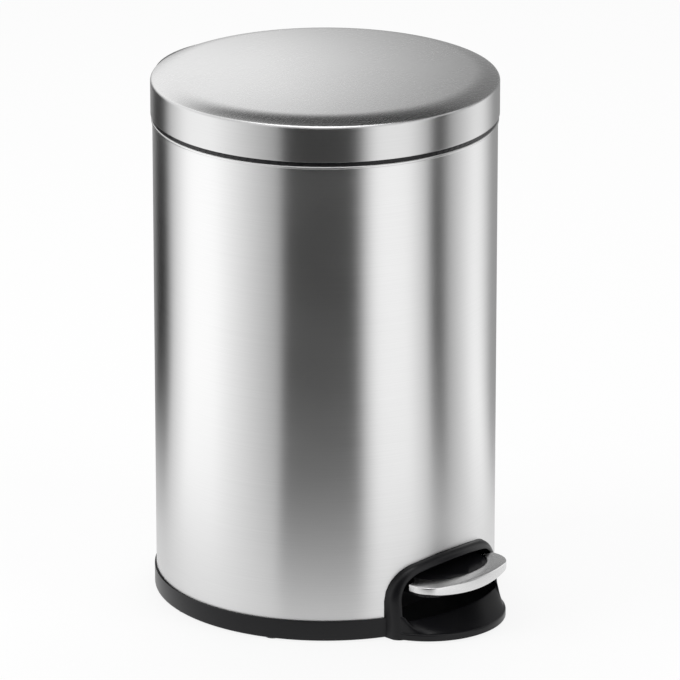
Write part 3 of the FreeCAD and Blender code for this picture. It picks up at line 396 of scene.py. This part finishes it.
def body_columns():
    """Angles of the columns, doubled where the window's and the slot's upright sides stand."""
    angle = np.linspace(0, TURN, SEGMENTS + 1)
    window = math.asin((ARCH["half"] + WINDOW_GAP) / BODY_RADIUS)
    slot = math.asin(SLOT_HALF / BODY_RADIUS)
    sides = np.array([window, TURN - window, math.pi - slot, math.pi + slot])
    return np.sort(np.concatenate([angle, sides - SIDE_STEP, sides + SIDE_STEP]))


def body_grid():
    """Each column climbs the outer wall, goes round the bead and comes down the inner wall."""
    angle = body_columns()
    across = BODY_RADIUS * np.sin(angle)
    in_window = (np.cos(angle) > 0) & (np.abs(across) < ARCH["half"] + WINDOW_GAP)
    grown = {key: ARCH[key] + (WINDOW_GAP if key in ("half", "top") else 0) for key in ARCH}
    low = np.where(in_window, arch_height(across, **grown), BODY_SEAT)
    in_slot = (np.cos(angle) < 0) & (np.abs(across) < SLOT_HALF)
    high = np.where(in_slot, SLOT_BASE, BODY_TOP)
    wall = low[:, None] + (high - BEAD_RADIUS - low)[:, None] * np.linspace(0, 1, BODY_ROWS)
    roll = np.linspace(-BEAD_WRAP, math.pi + BEAD_WRAP, BEAD_ROWS)
    bead = np.where(in_slot[:, None], BODY_WALL / 2, BEAD_RADIUS)
    radius = np.concatenate([np.full_like(wall, BODY_RADIUS), BODY_RADIUS - BODY_WALL / 2 + bead * np.cos(roll),
                             np.full_like(wall, BODY_RADIUS - BODY_WALL)], 1)
    height = np.concatenate([wall, high[:, None] + bead * np.sin(roll), wall[:, ::-1]], 1)
    grid = np.stack([np.sin(angle)[:, None] * radius, -np.cos(angle)[:, None] * radius, height], 2)
    uv = np.stack(np.broadcast_arrays(angle[:, None] * BODY_RADIUS, height), 2)
    return grid, uv


body_points, body_map = body_grid()
settle(surface("body_skin", body_points, True, body_map), "body_shell")


# Base ring, pedal housing and nose
def ring_skin():
    """The ring's section turned round the bin, but for the stretch that the housing takes."""
    section = rounded([(RING_INNER, BASE_LIFT), (RING_RADIUS, BASE_LIFT), (RING_RADIUS, RING_TOP),
                       (GROOVE_OUTER, RING_TOP), (GROOVE_OUTER, BODY_SEAT), (GROOVE_INNER, BODY_SEAT),
                       (GROOVE_INNER, RING_LIP), (RING_LIP_INNER, RING_LIP), (RING_LIP_INNER, RING_LEDGE),
                       (RING_INNER, RING_LEDGE)], [0, RING_EDGE, RING_CREASE] + [0] * 7)
    gap = math.asin((ARCH["half"] + MOUTH["half"]) / 2 / RING_RADIUS)
    return lathe("ring_skin", section, gap, TURN - gap)


def front_ahead(x, z):
    """How far ahead the housing's front stands: a cone about the bin's axis that leans back as it rises."""
    share = (z - BASE_LIFT) / (ARCH["top"] - BASE_LIFT)
    return np.sqrt((FRONT_LOW + (FRONT_HIGH - FRONT_LOW) * share) ** 2 - x ** 2)


def hood_skin():
    """The arch as a bar carried along its outline: out over a round edge, across the front, round into the
    mouth and back. A point lies part of the way from the outer outline to the mouth's."""
    outer = arch_path(base=BASE_LIFT, **ARCH)
    inner = arch_path(base=BASE_LIFT, **MOUTH)
    width = ARCH["half"] - MOUTH["half"]
    turn = np.linspace(0, math.pi / 2, HOOD_EDGE_ROWS)
    across = np.concatenate([[0], ARCH_EDGE * (1 - np.cos(turn)), width - MOUTH_EDGE * (1 - np.sin(turn)),
                             [width]])
    back = np.concatenate([ARCH_EDGE * (1 - np.sin(turn)), MOUTH_EDGE * (1 - np.cos(turn))])
    spot = outer[:, None] + (inner - outer)[:, None] * (across / width)[None, :, None]
    ahead = front_ahead(spot[..., 0], spot[..., 1])
    ahead[:, 1:-1] -= back
    ahead[:, [0, -1]] = ARCH_BACK
    return surface("hood_skin", capped(np.stack([spot[..., 0], -ahead, spot[..., 1]], 2)), True)


def back_wall_skin():
    """The wall behind the mouth: rays from the lever slot's middle meet the slot's edge and the arch."""
    outline = arch_path(base=LIP_HEIGHT - LIP_CORNER, **MOUTH)
    floor_line = np.linspace(outline[-1], outline[0], MOUTH_FLOOR_STEPS, endpoint=False)[1:]
    outline = np.concatenate([outline, floor_line])
    middle = np.array([0, (LEVER_SLOT["low"] + LEVER_SLOT["high"]) / 2])
    ray = outline - middle
    tall = (LEVER_SLOT["high"] - LEVER_SLOT["low"]) / 2
    reach = np.minimum(LEVER_SLOT["half"] / np.maximum(np.abs(ray[:, 0]), SMALLEST),
                       tall / np.maximum(np.abs(ray[:, 1]), SMALLEST))
    hole = middle + ray * reach[:, None]
    loops = [(outline, MOUTH_BACK), (hole, MOUTH_BACK), (hole, ARCH_BACK), (outline, ARCH_BACK)]
    grid = np.stack([np.insert(loop, 1, -ahead, axis=1) for loop, ahead in loops], 1)
    return surface("back_wall_skin", np.concatenate([grid, grid[:1]]), True)


def leg_ahead(x, z):
    """How far ahead the leg's skin stands: the housing's front, less the quarter round of its outer edge and
    that of the mouth's edge."""
    outer = np.clip(1 - (ARCH["half"] - np.abs(x)) / ARCH_EDGE, 0, 1)
    inner = np.clip(1 - (np.abs(x) - MOUTH["half"]) / MOUTH_EDGE, 0, 1)
    return (front_ahead(x, z) - ARCH_EDGE * (1 - np.sqrt(1 - outer ** 2))
            - MOUTH_EDGE * (1 - np.sqrt(1 - inner ** 2)))


def lip_path(share):
    """The chin's upper edge, from 0 in the middle to 1 at its end: along the mouth's floor, up a quarter circle
    at the mouth's corner, then across the leg's front just under its skin. The last value is 1 on the leg."""
    size = np.abs(share)
    corner = np.clip((size - LIP_SHARES[1]) / (LIP_SHARES[2] - LIP_SHARES[1]), 0, 1)
    leg = np.clip((size - LIP_SHARES[2]) / (LIP_SHARES[3] - LIP_SHARES[2]), 0, 1)
    x = (np.minimum(size / LIP_SHARES[1], 1) * (MOUTH["half"] - LIP_CORNER)
         + LIP_CORNER * np.sin(corner * math.pi / 2) + leg * (LEG_END - MOUTH["half"]))
    z = LIP_HEIGHT + LIP_CORNER * (1 - np.cos(corner * math.pi / 2))
    free = np.sqrt(LIP_RADIUS ** 2 - x ** 2)
    ahead = free + (leg_ahead(x, z) - LEG_BITE - free) * ease(corner)
    return x * np.sign(share), ahead, z, ease(corner)


def nose_skin():
    """The foot plate by its share of the lip's path, left of the middle below 0. Each line runs from the back
    of the mouth's floor over the round lip, down the chin to the rim, round it to the bottom and back
    underneath. The chin is straight under the lip and bulges where it leaves the legs."""
    share = np.linspace(-1, 1, NOSE_STEPS)[:, None]
    lip_x, lip_ahead, lip_z, on_leg = lip_path(share)
    angle = np.interp(np.abs(share), LIP_SHARES, RIM_ANGLES) * np.sign(share)
    side, front = np.sin(angle), np.cos(angle)
    fall = np.linspace(0, 1, CHIN_ROWS)
    rim_x, rim_ahead = (NOSE_RADIUS - NOSE_EDGE) * side, NOSE_AHEAD + (NOSE_RADIUS - NOSE_EDGE) * front
    roll = np.linspace(0, math.pi / 2, NOSE_EDGE_ROWS)[:-1]
    floor_ahead = np.concatenate([np.full_like(lip_x, MOUTH_BACK - FLOOR_TUCK), lip_ahead - 2 * LIP_EDGE,
                                  lip_ahead - LIP_EDGE * np.cos(roll)], 1)
    floor_x = np.broadcast_to(np.clip(lip_x, -FLOOR_HALF, FLOOR_HALF), floor_ahead.shape)
    floor_z = lip_z - LIP_EDGE + LIP_EDGE * np.concatenate([[-FLOOR_SINK, -FLOOR_SINK], np.sin(roll)])
    outwards = fall ** (1 - BULGE * on_leg)
    chin_x = lip_x + (rim_x - lip_x) * outwards
    chin_ahead = lip_ahead + (rim_ahead - lip_ahead) * outwards
    chin_z = lip_z + (NOSE_RIM - lip_z) * fall
    turn = np.linspace(0, math.pi / 2, NOSE_EDGE_ROWS)[1:]
    round_out = NOSE_EDGE * np.sin(turn)
    edge_x, edge_ahead = rim_x + side * round_out, rim_ahead + front * round_out
    edge_z = np.broadcast_to(NOSE_RIM - NOSE_EDGE * (1 - np.cos(turn)), edge_x.shape)
    sole_x = np.concatenate([NOSE_RADIUS * side, rim_x, lip_x], 1)
    sole_ahead = np.concatenate([NOSE_AHEAD + NOSE_RADIUS * front, rim_ahead, floor_ahead[:, :1]], 1)
    sole_z = np.broadcast_to([BASE_LIFT + NOSE_EDGE / 2, BASE_LIFT, BASE_LIFT], sole_x.shape)
    grid = np.stack([np.concatenate([floor_x, chin_x, edge_x, sole_x], 1),
                     -np.concatenate([floor_ahead, chin_ahead, edge_ahead, sole_ahead], 1),
                     np.concatenate([floor_z, chin_z, edge_z, sole_z], 1)], 2)
    return surface("nose_skin", capped(grid), True)


for skin in (ring_skin, hood_skin, back_wall_skin, nose_skin):
    settle(skin(), "base_ring")


# Pedal trim
def trim_skin():
    """The metal band carried round the tread: front face, rounded upper edge, top face and the edge of the
    inset. The top falls outwards by a parabola, and the lower edge hangs lowest in the middle by another."""
    outer = arch_path(base=TREAD_BACK, straight=8, **TREAD)
    inner = arch_path(base=TREAD_BACK, straight=8, **INSET)
    turn = np.linspace(0, math.pi / 2, TRIM_EDGE_ROWS)
    inward = inner - outer
    width = np.linalg.norm(inward, axis=1)[:, None]
    edge_in, edge_up = TRIM_EDGE * (1 - np.cos(turn)), TRIM_EDGE * (np.sin(turn) - 1)
    inset_in, inset_up = INSET_EDGE * (1 - np.sin(turn)), INSET_EDGE * (np.cos(turn) - 1)
    middle = np.broadcast_to(np.linspace(*TRIM_MIDDLE, TRIM_ROWS), (len(outer), TRIM_ROWS))
    top_share = np.concatenate([edge_in / width, middle, 1 - inset_in / width], 1)
    top = TRIM_TOP - TRIM_FALL * (1 - top_share) ** 2 + np.concatenate([edge_up, np.zeros(TRIM_ROWS), inset_up])
    band = TRIM_BASE - BAND_DROP * np.maximum(1 - (outer[:, :1] / BAND_HALF) ** 2, 0)
    low, none, whole, back = np.full_like(band, TRIM_BASE), 0 * width, 0 * width + 1, BAND_DEPTH / width
    share = np.concatenate([none, none, top_share, whole, back, back], 1)
    height = np.concatenate([band, band + BAND_EDGE, top, low, low, band], 1)
    spot = outer[:, None] + inward[:, None] * share[..., None]
    return surface("trim_skin", capped(np.stack([spot[..., 0], -spot[..., 1], height], 2)), True)


settle(trim_skin(), "pedal_trim")


# Lid bracket
def lift_crest(piece):
    """Points above the knee go up by the same rise, so that the crest meets the lid's shoulder."""
    points = np.empty(len(piece.data.vertices) * 3, dtype=np.float32)
    piece.data.vertices.foreach_get("co", points)
    height = points[2::3]
    points[2::3] = np.where(height > BRACKET_KNEE, height + BRACKET_RISE, height)
    piece.data.vertices.foreach_set("co", points)
    piece.data.update()


lift_crest(settle(smooth_copy("lid_hinge_bracket"), "lid_hinge_bracket"))

# Every other node keeps its CAD shape, with merged points and smooth faces
for node in frame["nodes"]:
    if node not in dressed:
        settle(smooth_copy(node), node)


# Studio: a pale floor and room, and a ring of soft panels that only reflections see
CAMERA_TURN = -46.3
TENT_RADIUS, APRON_RADIUS, TENT_WALL, TENT_TOP, TENT_LIFT = 0.70, 0.17, 1.2, 1.9, 2 * MM
TENT_STEPS, APRON_ROWS, WALL_ROWS, TOP_ROWS = 721, 30, 60, 20
# Panels by their edges in degrees from the camera's side, positive to the right, the softness of those edges,
# their lower and upper reach in metres along the wall, measured from the floor, and their level
PANELS = {
    "left_softbox": (-94, -72, 30, 48, -0.2, 0.55, 1.46),
    "right_softbox": (31, 51, 11, 24, -0.2, 0.55, 1.30),
    "rear_right_softbox": (106, 115, 28, 19, -0.2, 0.55, 1.28),
    "front_flag": (-24, 17, 4, 7, -0.18, 0.65, 0.0),
    "right_flag": (69, 76, 4, 5, 0.02, 0.60, 0.0),
    "rear_left_flag": (-138, -121, 12, 7, 0.02, 0.60, 0.0),
    "lid_softbox": (-168, -100, 32, 30, 0.65, 1.12, 1.20),
    "lid_flag": (110, 158, 20, 27, 0.65, 1.00, 0.26),
    "top_flag": (70, 205, 30, 40, 1.16, 2.50, 0.06),
    "top_softbox": (-75, 60, 25, 20, 1.70, 2.50, 3.0),
}
FLOOR_LEVEL, LOW_LEVEL, HIGH_LEVEL = 0.93, 0.38, 0.95
# Where the floor's level fades into the wall's, where the wall's rises, and how softly panels end below
# and above
FLOOR_FADE, WALL_STEP, PANEL_FADE_LOW, PANEL_FADE_HIGH = (-0.5, 0.4), (0.55, 0.1), 0.3, 0.1
# Light of the room, white of the paper and the share of it that shows its own white
ROOM_LIGHT, PAPER_WHITE, PAPER_GLOW = 0.55, 0.9, 0.85
FLOOR_STEPS, FLOOR_RINGS = 97, (1 * MM, 0.5, 6.0)
# Lamps: turn from the camera's side, distance, height, width, tallness and watts
LAMPS = {
    "left_lamp": (-75, 2.2, 1.5, 1.4, 1.8, 26),
    "right_lamp": (60, 2.4, 1.3, 1.2, 1.6, 18),
    "top_lamp": (180, 1.2, 2.4, 1.6, 1.2, 20),
}
LAMP_AIM = Vector((0, 0, 0.2))


def tent_levels(angle, reach):
    """Brightness of the panel ring: floor white near the bin, a low level on the wall, a higher one above,
    then each panel over what is there, by a soft mask in angle times a soft mask in height."""
    level = LOW_LEVEL + (HIGH_LEVEL - LOW_LEVEL) * ease((reach - WALL_STEP[0]) / WALL_STEP[1])
    level = FLOOR_LEVEL + (level - FLOOR_LEVEL) * ease((reach - FLOOR_FADE[0]) / FLOOR_FADE[1])
    level = np.broadcast_to(level, np.broadcast_shapes(angle.shape, reach.shape)).copy()
    for start, stop, soft_start, soft_stop, low, high, panel in PANELS.values():
        middle, half = (start + stop) / 2, (stop - start) / 2
        off = (angle - middle + 180) % 360 - 180
        beyond = np.where(off < 0, (-off - half) / soft_start, (off - half) / soft_stop)
        mask = np.clip(1 - beyond, 0, 1) * ease(1 + (reach - low) / PANEL_FADE_LOW)
        mask = mask * ease(1 + (high - reach) / PANEL_FADE_HIGH)
        level += (panel - level) * mask
    return level


def studio_place(turn, distance, height):
    """A place in the studio, by its turn from the camera's side, positive to the camera's right."""
    angle = math.radians(CAMERA_TURN + turn)
    return Vector((distance * math.sin(angle), -distance * math.cos(angle), height))


def tent():
    """An apron on the floor, a round wall and a quarter-round top, with its level kept in an attribute."""
    turn = np.linspace(-180, 180, TENT_STEPS)[:, None]
    apron = np.linspace(APRON_RADIUS, TENT_RADIUS, APRON_ROWS, endpoint=False)
    wall = np.linspace(0, TENT_WALL, WALL_ROWS, endpoint=False)
    lean = np.linspace(0, math.pi / 2, TOP_ROWS)
    radius = np.concatenate([apron, np.full(WALL_ROWS, TENT_RADIUS), TENT_RADIUS * np.cos(lean)])
    height = np.concatenate([np.full(APRON_ROWS, TENT_LIFT), wall + TENT_LIFT,
                             TENT_WALL + (TENT_TOP - TENT_WALL) * np.sin(lean)])
    reach = np.concatenate([apron - TENT_RADIUS, wall, TENT_WALL + TENT_RADIUS * lean])[None]
    angle = np.radians(CAMERA_TURN + turn)
    grid = np.stack(np.broadcast_arrays(np.sin(angle) * radius, -np.cos(angle) * radius, height[None]), 2)
    mesh = grid_mesh("panel_ring", grid)
    mesh.attributes.new("level", "FLOAT", "POINT").data.foreach_set("value", tent_levels(turn, reach).ravel())
    material = bpy.data.materials.new("panel_light")
    finish = Finish(material)
    level = finish.node("ShaderNodeAttribute", {"attribute_name": "level"}, out="Fac")
    finish.end(finish.node("ShaderNodeEmission", None, Color=level, Strength=1.0))
    material.cycles.emission_sampling = "NONE"
    mesh.materials.append(material)
    ring = bpy.data.objects.new("panel_ring", mesh)
    bpy.context.scene.collection.objects.link(ring)
    ring.visible_camera = ring.visible_diffuse = ring.visible_shadow = ring.visible_transmission = False


def rays_seen(finish):
    """One where a camera, mirror or glass ray looks."""
    camera, glossy, clear = [finish.node("ShaderNodeLightPath", None, out=kind) for kind in
                             ("Is Camera Ray", "Is Glossy Ray", "Is Transmission Ray")]
    total = camera + glossy + clear
    return total.math("MINIMUM", total, 1.0)


def pale_world():
    """White where it is looked at, a plain grey where it lights."""
    world = bpy.data.worlds.new("pale_room")
    bpy.context.scene.world = world
    finish = Finish(world)
    level = ROOM_LIGHT + rays_seen(finish) * (1 - ROOM_LIGHT)
    finish.end(finish.node("ShaderNodeBackground", None, Color=level, Strength=1.0), "ShaderNodeOutputWorld")


def pale_floor():
    """White paper: matt under the lamps, with its own white where it is looked at."""
    around = np.linspace(0, TURN, FLOOR_STEPS)
    rings = np.array(FLOOR_RINGS)
    floor = surface("floor", np.stack([np.outer(rings, np.sin(around)), np.outer(rings, np.cos(around)),
                                       np.zeros((len(rings), len(around)))], 2))
    material = bpy.data.materials.new("white_paper")
    finish = Finish(material)
    paper = finish.node("ShaderNodeBsdfDiffuse", None, Color=grey(PAPER_WHITE))
    glow = finish.node("ShaderNodeEmission", None, Color=grey(1.0), Strength=1.0)
    finish.end(finish.node("ShaderNodeMixShader", None, rays_seen(finish) * PAPER_GLOW, paper, glow))
    floor.data.materials.append(material)


def lamp(name, turn, distance, height, width, tall, watts):
    """A soft rectangular lamp that faces the bin and isn't seen in reflections."""
    light = bpy.data.lights.new(name, "AREA")
    light.shape, light.size, light.size_y, light.energy = "RECTANGLE", width, tall, watts
    holder = bpy.data.objects.new(name, light)
    holder.location = studio_place(turn, distance, height)
    holder.rotation_euler = (LAMP_AIM - holder.location).to_track_quat("-Z", "Y").to_euler()
    holder.visible_glossy = False
    bpy.context.scene.collection.objects.link(holder)


pale_world()
pale_floor()
tent()
for lamp_name, placing in LAMPS.items():
    lamp(lamp_name, *placing)

# Camera
CAMERA_DISTANCE, CAMERA_HEIGHT, CAMERA_LENS = 5.0, 1.925, 330.7
AIM_HEIGHT, AIM_RIGHT = 0.217, 0.0124
camera_data = bpy.data.cameras.new("view")
camera_data.lens = CAMERA_LENS
camera = bpy.data.objects.new("view", camera_data)
camera.location = studio_place(0, CAMERA_DISTANCE, CAMERA_HEIGHT)
aim = studio_place(90, AIM_RIGHT, AIM_HEIGHT)
camera.rotation_euler = (aim - camera.location).to_track_quat("-Z", "Y").to_euler()
bpy.context.scene.collection.objects.link(camera)
bpy.context.scene.camera = camera
bpy.context.scene.view_settings.view_transform = "Standard"
